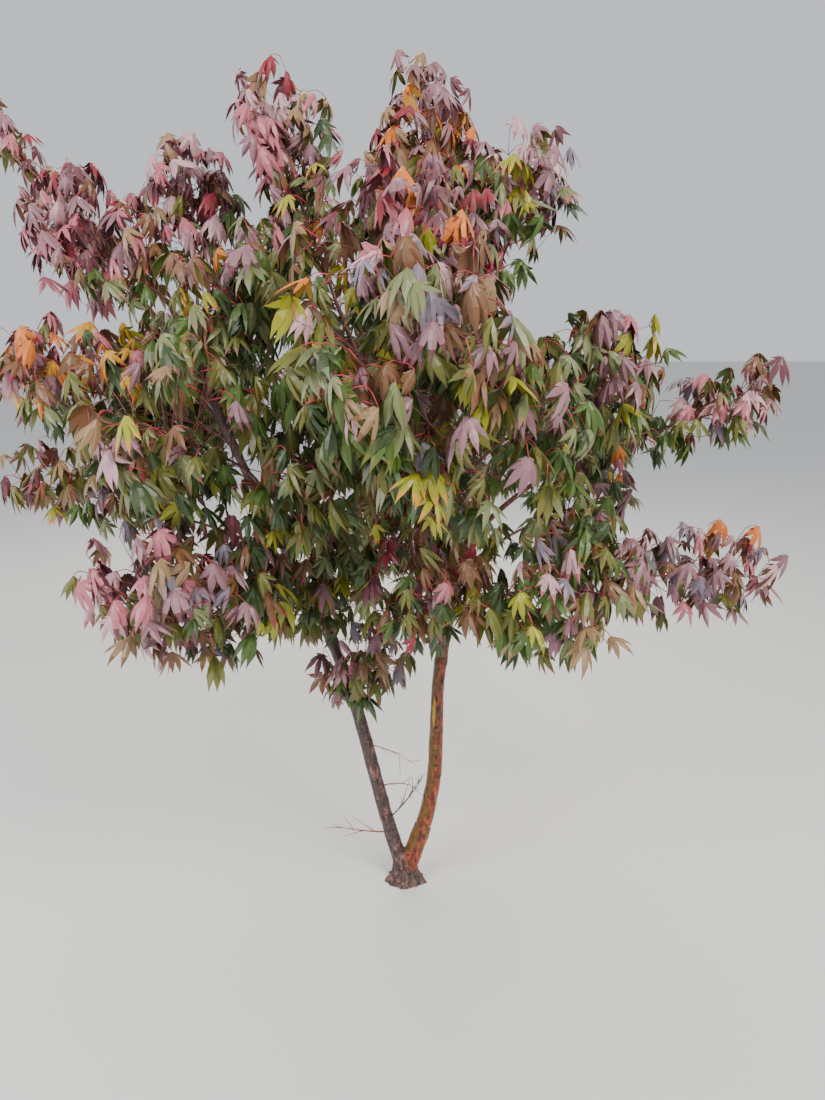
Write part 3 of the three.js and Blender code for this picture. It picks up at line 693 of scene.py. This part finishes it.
def make_foot():
    mesh = foot_mesh()
    for face in mesh.polygons:
        middle = face.center / MM
        ragged = COPPER_RAGGED * noise.noise(middle / COPPER_NOISE)
        edge = COPPER_FROM + COPPER_CLIMB * math.exp(-max(middle.x, 0) / COPPER_FADE)
        face.material_index = int(middle.x > 0 and middle.z + ragged > edge)
    add_piece("foot", mesh, [OLD_BARK, COPPER_BARK], "old_bark", ["root_flare"])


def make_boughs():
    """All boughs as one piece. Each limb is told where its mass starts, at its tip or on the stem."""
    boughs = Gathered()
    for limb in limbs:
        start = point_at(PATHS[limb["stem"]], limb["at"])
        limb.update(tip=start, tip_heading=limb["heading"], tip_rise=limb["rise"])
        if limb["length"] == 0:
            continue
        bow = BOUGH_BOW if limb["index"] % 2 else -BOUGH_BOW
        points = limb_path(start, limb["heading"], bow, limb["rise"], limb["lift"], limb["length"],
                           BOUGH_STEPS)
        curve = smoothed(points, BOUGH_PARTS)
        radii = tapered(BOUGH_FOOT_RADIUS + BOUGH_FOOT_GROWTH * limb["length"], BOUGH_TIP_RADIUS, len(curve))
        collared = [
            radius * (BOUGH_BARK_SHARE + BOUGH_COLLAR * math.exp(-((length / BOUGH_COLLAR_LENGTH) ** 2)))
            for radius, length in zip(radii, tapered(0, limb["length"], len(curve)))
        ]
        keep_clear(curve, radii)
        boughs.add(*tube(curve, collared, BOUGH_SIDES, bark_bumps(BOUGH_RELIEF, limb["index"])))
        limb.update(points=points, tip=points[-1], tip_heading=limb["heading"] + bow / 2,
                    tip_rise=limb["rise"] + limb["lift"] / 2)
    add_piece("boughs", boughs.mesh("boughs"), [BOUGH_BARK], "twig_bark",
              ["bough_" + limb["name"] for limb in limbs if limb["length"] > 0])


def make_thin_shoot(index, name, at, heading, rise, lift, length, radii, branches, angle, look, slot):
    draw = seeded(SHOOT_SEED + index)

    def spread():
        return SIDE_SHOOT_SPREAD * (2 * draw() - 1)

    thick, thin = radii
    points = limb_path(point_at(PATHS["left"], at), heading, 0, rise, lift, length, SHOOT_STEPS)
    curve = smoothed(points, SHOOT_PARTS)
    wood = Gathered()
    wood.add(*tube(curve, tapered(thick, thin * SHOOT_TIP, len(curve)), SHOOT_SIDES,
                   bark_bumps(BOUGH_RELIEF, index)))
    for k in range(branches):
        f = SIDE_SHOOT_FROM + (SIDE_SHOOT_TO - SIDE_SHOOT_FROM) * k / (branches - 1)
        side_heading = heading + angle * (1 if k % 2 else -1) + spread()
        side_rise = rise + lift * (f - 0.5) + spread()
        share = SIDE_SHOOT_SHARE - SIDE_SHOOT_SHORTENING * f + SIDE_SHOOT_SHARE_SPREAD * draw()
        side_bow, side_lift = 2 * spread(), 2 * spread()
        side_points = limb_path(point_at(points, f), side_heading, side_bow, side_rise, side_lift,
                                share * length, SHOOT_STEPS)
        wood.add(*tube(side_points, tapered(thin, thin * SIDE_SHOOT_TIP, SHOOT_STEPS + 1), SIDE_SHOOT_SIDES))
    nodes = [name] if name in SHOOTS_WITH_A_SOLID else []
    add_piece(name + "_wood", wood.mesh(name), [look], slot, nodes)


for side, size in STEMS.items():
    make_stem(side, size)
make_foot()
make_boughs()
for index, row in enumerate(THIN_SHOOTS):
    make_thin_shoot(index, *row)


# Leaves

# A leaf: for each lobe its angle off the middle line, reach, half width and rows. A row is a share of
# the reach with a share of the half width. Notches part the lobes, and the stalk ends at the centre.
FULL_ROWS = ((0.44, 1), (0.66, 0.8), (0.84, 0.32))
SHORT_ROWS = ((0.58, 1),)
SIDE_LOBES = [
    (124, 0.36, 0.06, SHORT_ROWS), (80, 0.72, 0.092, FULL_ROWS), (39, 0.94, 0.112, FULL_ROWS),
]
LOBES = [(-angle, *sizes) for angle, *sizes in SIDE_LOBES] + [(0, 1, 0.118, FULL_ROWS)] + SIDE_LOBES[::-1]
MIDDLE_START, MIDDLE_RISE = 0.3, 0.016
SIDE_HANG = 18
NOTCH_REACH, SIDE_NOTCH_SHARE = 0.22, 0.78
BACK_REACH, BACK_ANGLE = 0.13, 158
LOBE_CURL_SPREAD, LOBE_ANGLE_SPREAD, LOBE_REACH_SPREAD, LOBE_SWEEP = 0.4, 5, 0.07, 14
# Zones of a leaf: the tips are all that lies past this row
BODY, TIPS, UNDER = 0, 1, 2
FIRST_TIP_ROW = 2
# Hang, curl and fold of each kind of leaf, from level ones to ones that hang closed
LEAF_KINDS = (
    (14, 40, 0.3), (22, 50, 0.35), (30, 42, 0.3), (8, 56, 0.3), (36, 52, 0.4), (18, 30, 0.45),
    (42, 38, 0.35), (26, 64, 0.3), (34, 24, 0.5), (12, 72, 0.35), (46, 46, 0.4),
)
LEAF_SEED = 31


def leaf_shape(hang, curl, fold, draw):
    """One leaf along +X with its centre at the origin: places, corners and the zone of each triangle.

    The lobes leave the centre at the hang angle, those at the sides more steeply, and bend down further
    by curl along their length. Their edges fold down from a raised middle line.
    """

    def bent(angle, distance, lateral=0.0, raised=0.0, own=1.0):
        a = math.radians(angle)
        start = hang + SIDE_HANG * math.sin(a) ** 2
        slope = math.radians(start + curl * own * distance)
        middle = math.radians(start + curl * own * distance / 2)
        along, across = Vector((math.cos(a), math.sin(a), 0)), Vector((-math.sin(a), math.cos(a), 0))
        normal = along * math.sin(slope) + UP * math.cos(slope)
        place = (along * math.cos(middle) - UP * math.sin(middle)) * distance
        return place + across * lateral + normal * (raised - fold * abs(lateral))

    def unlike():
        return 2 * draw() - 1

    places, corners, zones = [Vector((0, 0, 0))], [], []
    angles = [lobe[0] for lobe in LOBES]
    notches = [-BACK_ANGLE] + [(a + b) / 2 for a, b in zip(angles, angles[1:])] + [BACK_ANGLE]
    reaches = [BACK_REACH] + [NOTCH_REACH] * (len(LOBES) - 1) + [BACK_REACH]
    reaches[1] = reaches[-2] = NOTCH_REACH * SIDE_NOTCH_SHARE
    for angle, reach in zip(notches, reaches):
        places.append(bent(angle, reach))

    def face(zone, *ring):
        for i in range(1, len(ring) - 1):
            corners.append((ring[0], ring[i], ring[i + 1]))
            zones.append(zone)

    for k, (angle, reach, half, rows) in enumerate(LOBES):
        own = 1 + LOBE_CURL_SPREAD * unlike()
        angle += LOBE_ANGLE_SPREAD * unlike()
        reach *= 1 + LOBE_REACH_SPREAD * unlike()
        sweep = LOBE_SWEEP * unlike()
        middle, rims = [len(places)], [(1 + k, 2 + k)]
        places.append(bent(angle, MIDDLE_START * reach, 0, MIDDLE_RISE))
        for share, width in rows:
            turn, distance = angle + sweep * share, share * reach
            middle.append(len(places))
            rims.append((len(places) + 1, len(places) + 2))
            places.append(bent(turn, distance, 0, MIDDLE_RISE * width, own))
            places.append(bent(turn, distance, -half * width, 0, own))
            places.append(bent(turn, distance, half * width, 0, own))
        tip = len(places)
        places.append(bent(angle + sweep, reach, 0, 0, own))
        face(BODY, 0, rims[0][0], middle[0])
        face(BODY, 0, middle[0], rims[0][1])
        face(UNDER, 0, rims[0][1], rims[0][0])
        for i in range(len(rows)):
            (right, left), (next_right, next_left) = rims[i:i + 2]
            zone = TIPS if i >= FIRST_TIP_ROW else BODY
            face(zone, middle[i], right, next_right, middle[i + 1])
            face(zone, middle[i], middle[i + 1], next_left, left)
            face(UNDER, right, left, next_left, next_right)
        right, left = rims[-1]
        face(TIPS, middle[-1], right, tip)
        face(TIPS, middle[-1], tip, left)
        face(UNDER, right, left, tip)
    return np.array([list(p) for p in places]), np.array(corners), np.array(zones)


leaf_draw = seeded(LEAF_SEED)
LEAF_SHAPES = [leaf_shape(*kind, leaf_draw) for kind in LEAF_KINDS]


# Twigs and masses of foliage

LEAF_REACH, LEAF_REACH_SPREAD = 64, 0.25
STALK_LENGTH, STALK_LENGTH_SPREAD = 38, 0.35
STALK_RADII, STALK_SIDES = (1.15, 0.8), 3
STALK_ARCH, STALK_SAG = 0.07, 0.14
LEAF_DROOP, LEAF_DROOP_SPREAD = 30, 34
LEAF_ROLL_SPREAD = 26
# Places along a leaf, and how far its tips hang below, as shares of its reach
HEART_SHARE, TIP_SHARE, HANG_SHARE = 0.4, 0.8, 0.35
SPRAY_PARTS, SPRAY_SIDES, TWIG_SIDES = 4, 6, 4
# Below these lengths a level or crosswise vector is too short to go by
LEAST_LEVEL, LEAST_FLAT = 0.05, 0.1
WOOD_CLEARANCE = 5
# How far growth may pass the solids' box
BOX_SIDE, BOX_TOP = 12, 6

VIEWER = Vector(CAMERA_PLACE) / MM
LOW_CORNER = Vector(CAD_BOX[0]) / MM - Vector((BOX_SIDE, BOX_SIDE, 0))
HIGH_CORNER = Vector(CAD_BOX[1]) / MM + Vector((BOX_SIDE, BOX_SIDE, BOX_TOP))

wood_array = np.array([list(p) for p in wood_places])
wood_sizes = np.array(wood_radii)
leaf_cells = {}


def mass_space(limb):
    """Centre and half axes of the space that a mass keeps to."""
    axis = direction(limb["tip_heading"], limb["tip_rise"])
    across = direction(limb["tip_heading"] + 90, 0)
    up = axis.cross(across)
    up = up if up.z > 0 else -up
    sizes = (limb["reach"] / 2, limb["spread"], SPACE_HEIGHT * limb["spread"])
    centre = limb["tip"] + axis * (limb["reach"] / 2)
    return centre, [(v, SPACE_SLACK * s) for v, s in zip((axis, across, up), sizes)]


def inside(space, place):
    centre, axes = space
    off = place - centre
    parts = [off.dot(v) / s for v, s in axes]
    parts[2] /= UNDERSIDE_SHARE if parts[2] < 0 else 1
    return sum(part * part for part in parts) < 1


def in_box(place):
    return all(low < c < high for low, c, high in zip(LOW_CORNER, place, HIGH_CORNER))


def clear_of_wood(places):
    away = np.linalg.norm(wood_array[None] - np.array([list(p) for p in places])[:, None], axis=2)
    return bool((away > wood_sizes + WOOD_CLEARANCE).all())


def takes_room(place):
    """Whether no other leaf's middle is near this one's; if so, it is remembered."""
    key = [math.floor(c / LEAF_SPACING) for c in place]
    for cell in itertools.product(*((c - 1, c, c + 1) for c in key)):
        if any((other - place).length < LEAF_SPACING for other in leaf_cells.get(cell, ())):
            return False
    leaf_cells.setdefault(tuple(key), []).append(place)
    return True


def spray_path(limb):
    """The mass's own stem, from its bough's tip."""
    rise = limb["tip_rise"] - SPRAY_DROOP / 2
    return limb_path(limb["tip"], limb["tip_heading"], 0, rise, -SPRAY_DROOP, SPRAY_REACH * limb["reach"],
                     SPRAY_STEPS)


def shown_places():
    """Places along the limbs that show, each with the half width to keep free in front of it."""
    bough_limbs = {limb["name"] + "_bough": limb for limb in limbs}
    for name, low, high, width in SHOWN_LIMBS:
        if name in PATHS:
            stretches = [(PATHS[name], low, high)]
        else:
            limb = bough_limbs[name]
            stretches = [(limb["points"], low, 1), (spray_path(limb), 0, high - 1)]
        for points, start, end in stretches:
            length = (point_at(points, end) - point_at(points, start)).length
            count = max(2, round(length / SHOWN_STEP))
            for k in range(count):
                yield point_at(points, start + (end - start) * k / (count - 1)), width


SHOWN = list(shown_places())


def hides_limb(place):
    """Whether a leaf here would stand before a stretch of limb that shows from the front."""
    for target, width in SHOWN:
        sight, off = target - VIEWER, place - VIEWER
        share = off.dot(sight) / sight.length_squared
        if 0 < share < 1 and (off - sight * share).length < width:
            return True
    return False


class Mass:
    """One mass of foliage: its twigs, leaf stalks and leaves go to the sector's gathered meshes."""

    def __init__(self, limb, sector):
        self.limb, self.sector = limb, sector
        self.draw = seeded(MASS_SEED + SEED_STEP * limb["index"] + SEED_SHIFTS.get(limb["name"], 0))
        self.space = mass_space(limb)
        self.across = direction(limb["tip_heading"] + 90, 0)
        self.leaves = 0

    def spread(self):
        return 2 * self.draw() - 1

    def varied(self, middle, spread):
        """An angle in radians, off its middle by up to the spread, both in degrees."""
        return math.radians(middle + spread * self.spread())

    def tints(self, place):
        """Tints of a spray: sunlit ones near the outside of the crown, green ones within. Partly the leaves'
        own colour and partly painted light: paler tints outside, and darker greens as painted shade within.
        """
        off = place - CROWN_CENTRE
        out = math.sqrt(sum((o / a) ** 2 for o, a in zip(off, CROWN_AXES)))
        height = (place - self.space[0]).z / self.limb["spread"]
        sun = out + SUN_OF_HEIGHT * height + SUN_SPREAD * self.spread()
        tint = OWN_MIXES.get(self.limb["name"], self.limb["tint"])
        mix = SUN_MIXES[tint] if sun > SUN_FROM[tint] else SHADE_MIX
        return [mix[int(self.draw() * len(mix))] for _ in range(TINTS_OF_SPRAY)]

    def leaf(self, node, way, tints):
        """A stalk from a node of a twig, and the leaf that hangs from its end, where there is room."""
        length = STALK_LENGTH * (1 + STALK_LENGTH_SPREAD * self.spread())
        end = node + (way - UP * STALK_SAG) * length
        middle = node + (way * 0.5 + UP * STALK_ARCH) * length
        droop = self.varied(LEAF_DROOP, LEAF_DROOP_SPREAD)
        roll = self.varied(0, LEAF_ROLL_SPREAD)
        size = LEAF_REACH * (1 + LEAF_REACH_SPREAD * self.spread())
        places, corners, zones = LEAF_SHAPES[int(self.draw() * len(LEAF_SHAPES))]
        tint = tints[int(self.draw() * len(tints))]
        tipped = self.draw() < TIPPED_SHARE
        level = Vector((way.x, way.y, 0))
        level = (level if level.length > LEAST_LEVEL else self.across).normalized()
        along, normal = turned(level, UP, -droop), turned(UP, level, droop)
        side = normal.cross(along)
        normal, side = turned(normal, side, roll), turned(side, normal, -roll)
        heart, tip = end + along * (HEART_SHARE * size), end + along * (TIP_SHARE * size)
        if not (inside(self.space, end) and inside(self.space, heart)):
            return
        if not (in_box(end) and in_box(tip - UP * (HANG_SHARE * size)) and clear_of_wood((end, heart, tip))):
            return
        if hides_limb(heart) or not takes_room(heart):
            return
        under, tips = UNDER_AND_TIPS[tint]
        looks = np.array([LOOK_ORDER.index(t) for t in (tint, tips if tipped else tint, under)])
        turn = np.array([list(along), list(side), list(normal)])
        self.sector["leaves"].add(places * size @ turn + np.array(list(end)), corners, looks[zones])
        self.sector["stalks"].add(*tube([node, middle, end], tapered(*STALK_RADII, 3), STALK_SIDES))
        self.leaves += 1

    def twig(self, root, way, length, thickness=1.0, twiglets=True):
        """A twig that bends down, with pairs of leaves turned about it from node to node."""
        bend = TWIG_BEND * self.draw()
        steps = max(FEWEST_STEPS, round(length / TWIG_STEP))
        points = [root]
        for k in range(steps):
            ahead = points[-1] + (way - UP * (bend * k / steps)).normalized() * (length / steps)
            if not (inside(self.space, ahead) and in_box(ahead) and clear_of_wood((ahead,))):
                break
            points.append(ahead)
        last = len(points) - 1
        if last < SHORTEST_IN_STEPS:
            return
        reached = 0
        run = length * last / steps
        tints = self.tints(points[-1])
        nodes = max(2, round(run / NODE_SPACING))
        for k in range(nodes):
            f = FIRST_NODE + (1 - FIRST_NODE) * k / (nodes - 1)
            node = point_at(points, f)
            along = tangent_at(points, min(round(f * last), last))
            flat = along.cross(UP)
            flat = flat.normalized() if flat.length > LEAST_FLAT else self.across
            out = turned(flat, flat.cross(along), self.varied(NODE_ROLLS[k % 2], NODE_ROLL_SPREAD))
            branches = twiglets and k % 2 == 1 and k < nodes - 1 and run > SHORTEST_WITH_TWIGLETS
            leaves_before = self.leaves
            for side in (-1, 1):
                stalk_way = turned(along, out * side, self.varied(STALK_ANGLE, STALK_ANGLE_SPREAD))
                if branches:
                    self.twig(node, stalk_way, TWIGLET_SHARE * run, TWIGLET_THINNING, False)
                else:
                    self.leaf(node, stalk_way, tints)
            if k == nodes - 1:
                self.leaf(node, along, tints)
            if self.leaves > leaves_before:
                reached = f
        if reached:
            bearing = [point_at(points, reached * i / last) for i in range(last + 1)]
            radii = [thickness * radius for radius in tapered(*TWIG_RADII, last + 1)]
            self.sector["twigs"].add(*tube(bearing, radii, TWIG_SIDES))

    def grow(self):
        """The mass's own stem, a twig on from its tip, and twigs left and right at its nodes."""
        reach, spread = self.limb["reach"], self.limb["spread"]
        length = SPRAY_REACH * reach
        points = spray_path(self.limb)
        curve = smoothed(points, SPRAY_PARTS)
        self.sector["twigs"].add(*tube(curve, tapered(*SPRAY_RADII, len(curve)), SPRAY_SIDES))
        nodes = max(FEWEST_NODES, round(TWIGS_PER_AREA * reach * spread / 2))
        nodes = round(NODE_FACTOR * nodes)
        self.twig(points[-1], tangent_at(points, SPRAY_STEPS), TIP_TWIG_REACH * reach)
        for k in range(nodes - 1, -1, -1):
            for side in (-1, 1):
                f = (k + 0.5) / nodes + side * TWIG_STAGGER / 2 / length
                along = tangent_at(points, min(int(f * SPRAY_STEPS) + 1, SPRAY_STEPS))
                third = along.cross(self.across).normalized()
                out = turned(self.across, third, self.varied(TWIG_ROLLS[k % 2], TWIG_ROLL_SPREAD))
                way = turned(along, out, side * self.varied(TWIG_ANGLE, TWIG_ANGLE_SPREAD))
                way = (way + UP * TWIG_LIFT).normalized()
                run = spread * TWIG_REACHES[(k + (side > 0)) % len(TWIG_REACHES)]
                run = run * (1 + TWIG_REACH_SPREAD * self.spread()) + TWIG_RUN_ON
                self.twig(point_at(points, f), way, run)

    def clothe_bough(self):
        """Short twigs left and right of the bough that carries the mass."""
        points = self.limb["points"]
        axis = (points[-1] - points[0]).normalized()
        flat = axis.cross(UP).normalized()
        sizes = ((axis, self.limb["length"] / 2), (flat, SPUR_REACH), (flat.cross(axis), SPUR_HEIGHT))
        self.space = point_at(points, (SPUR_FROM + SPUR_TO) / 2), sizes
        for k in range(SPUR_NODES):
            f = SPUR_FROM + (SPUR_TO - SPUR_FROM) * k / (SPUR_NODES - 1)
            along = tangent_at(points, round(f * BOUGH_STEPS))
            out = turned(flat, flat.cross(along), self.varied(TWIG_ROLLS[k % 2], TWIG_ROLL_SPREAD))
            for side in (-1, 1):
                way = turned(along, out, side * self.varied(SPUR_ANGLE, TWIG_ANGLE_SPREAD))
                way = (way + UP * TWIG_LIFT).normalized()
                self.twig(point_at(points, f), way, SPUR_REACH * (1 + TWIG_REACH_SPREAD * self.spread()))


def grow_crown():
    """All masses first, then the clothed boughs, then three pieces for each sector."""
    limbs_by_name = {limb["name"]: limb for limb in limbs}
    sectors = {name: {"leaves": Gathered(), "stalks": Gathered(), "twigs": Gathered()} for name in SECTORS}
    masses = [Mass(limbs_by_name[name], sectors[sector_name])
              for sector_name, (names, _) in SECTORS.items() for name in names]
    for mass in masses:
        mass.grow()
    for mass in masses:
        if mass.limb["name"] in CLOTHED:
            mass.clothe_bough()
    for sector_name, (names, leaf_slot) in SECTORS.items():
        nodes = ["foliage_" + name for name in names]
        for kind, looks, slot in (("leaves", LEAF_LOOKS.values(), leaf_slot),
                                  ("stalks", [STALK], "twig_bark"), ("twigs", [TWIG], "twig_bark")):
            name = "%s_%s" % (kind, sector_name)
            mesh = sectors[sector_name][kind].mesh(name)
            add_piece(name, mesh, looks, slot, nodes, smooth=kind != "leaves")
    print("leaves", sum(mass.leaves for mass in masses))


grow_crown()


# Floor, light and camera

FLOOR_REACH, FLOOR_COLOUR = 40, 0xD4D4D2
SKY_COLOUR, SKY_STRENGTH = (0.83, 0.86, 0.92, 1), 0.86
LIGHT_TARGET = Vector((0, 0, 1.2))
# Soft lights: place, size, power and colour
LIGHTS = {
    "key": ((2.6, -3.4, 4.4), 2.2, 340, (1, 0.95, 0.86)),
    "fill": ((-3.4, -2.6, 2.6), 2.6, 190, (0.96, 0.97, 1)),
    "back": ((-0.8, 3.4, 4.2), 2.4, 160, (1, 0.9, 0.76)),
}


def add_floor():
    form = bmesh.new()
    bmesh.ops.create_grid(form, x_segments=1, y_segments=1, size=FLOOR_REACH)
    mesh = bpy.data.meshes.new("floor")
    form.to_mesh(mesh)
    form.free()
    floor = bpy.data.objects.new("floor", mesh)
    bpy.context.scene.collection.objects.link(floor)
    mesh.materials.append(plain("floor", FLOOR_COLOUR, 0.9))


def add_sky():
    world = bpy.data.worlds.new("world")
    bpy.context.scene.world = world
    world.use_nodes = True
    background = world.node_tree.nodes["Background"]
    background.inputs["Color"].default_value = SKY_COLOUR
    background.inputs["Strength"].default_value = SKY_STRENGTH


def add_light(name, place, size, power, colour):
    data = bpy.data.lights.new(name, "AREA")
    data.size = size
    data.energy = power
    data.color = colour
    light = bpy.data.objects.new(name, data)
    light.location = place
    light.rotation_euler = (LIGHT_TARGET - Vector(place)).to_track_quat("-Z", "Y").to_euler()
    bpy.context.scene.collection.objects.link(light)


def add_camera():
    data = bpy.data.cameras.new("camera")
    data.sensor_width = CAMERA_SENSOR
    data.lens = CAMERA_LENS
    camera = bpy.data.objects.new("camera", data)
    camera.location = CAMERA_PLACE
    camera.rotation_euler = (math.radians(90 - CAMERA_PITCH), 0, 0)
    bpy.context.scene.collection.objects.link(camera)
    bpy.context.scene.camera = camera


add_floor()
add_sky()
for name, light in LIGHTS.items():
    add_light(name, *light)
add_camera()
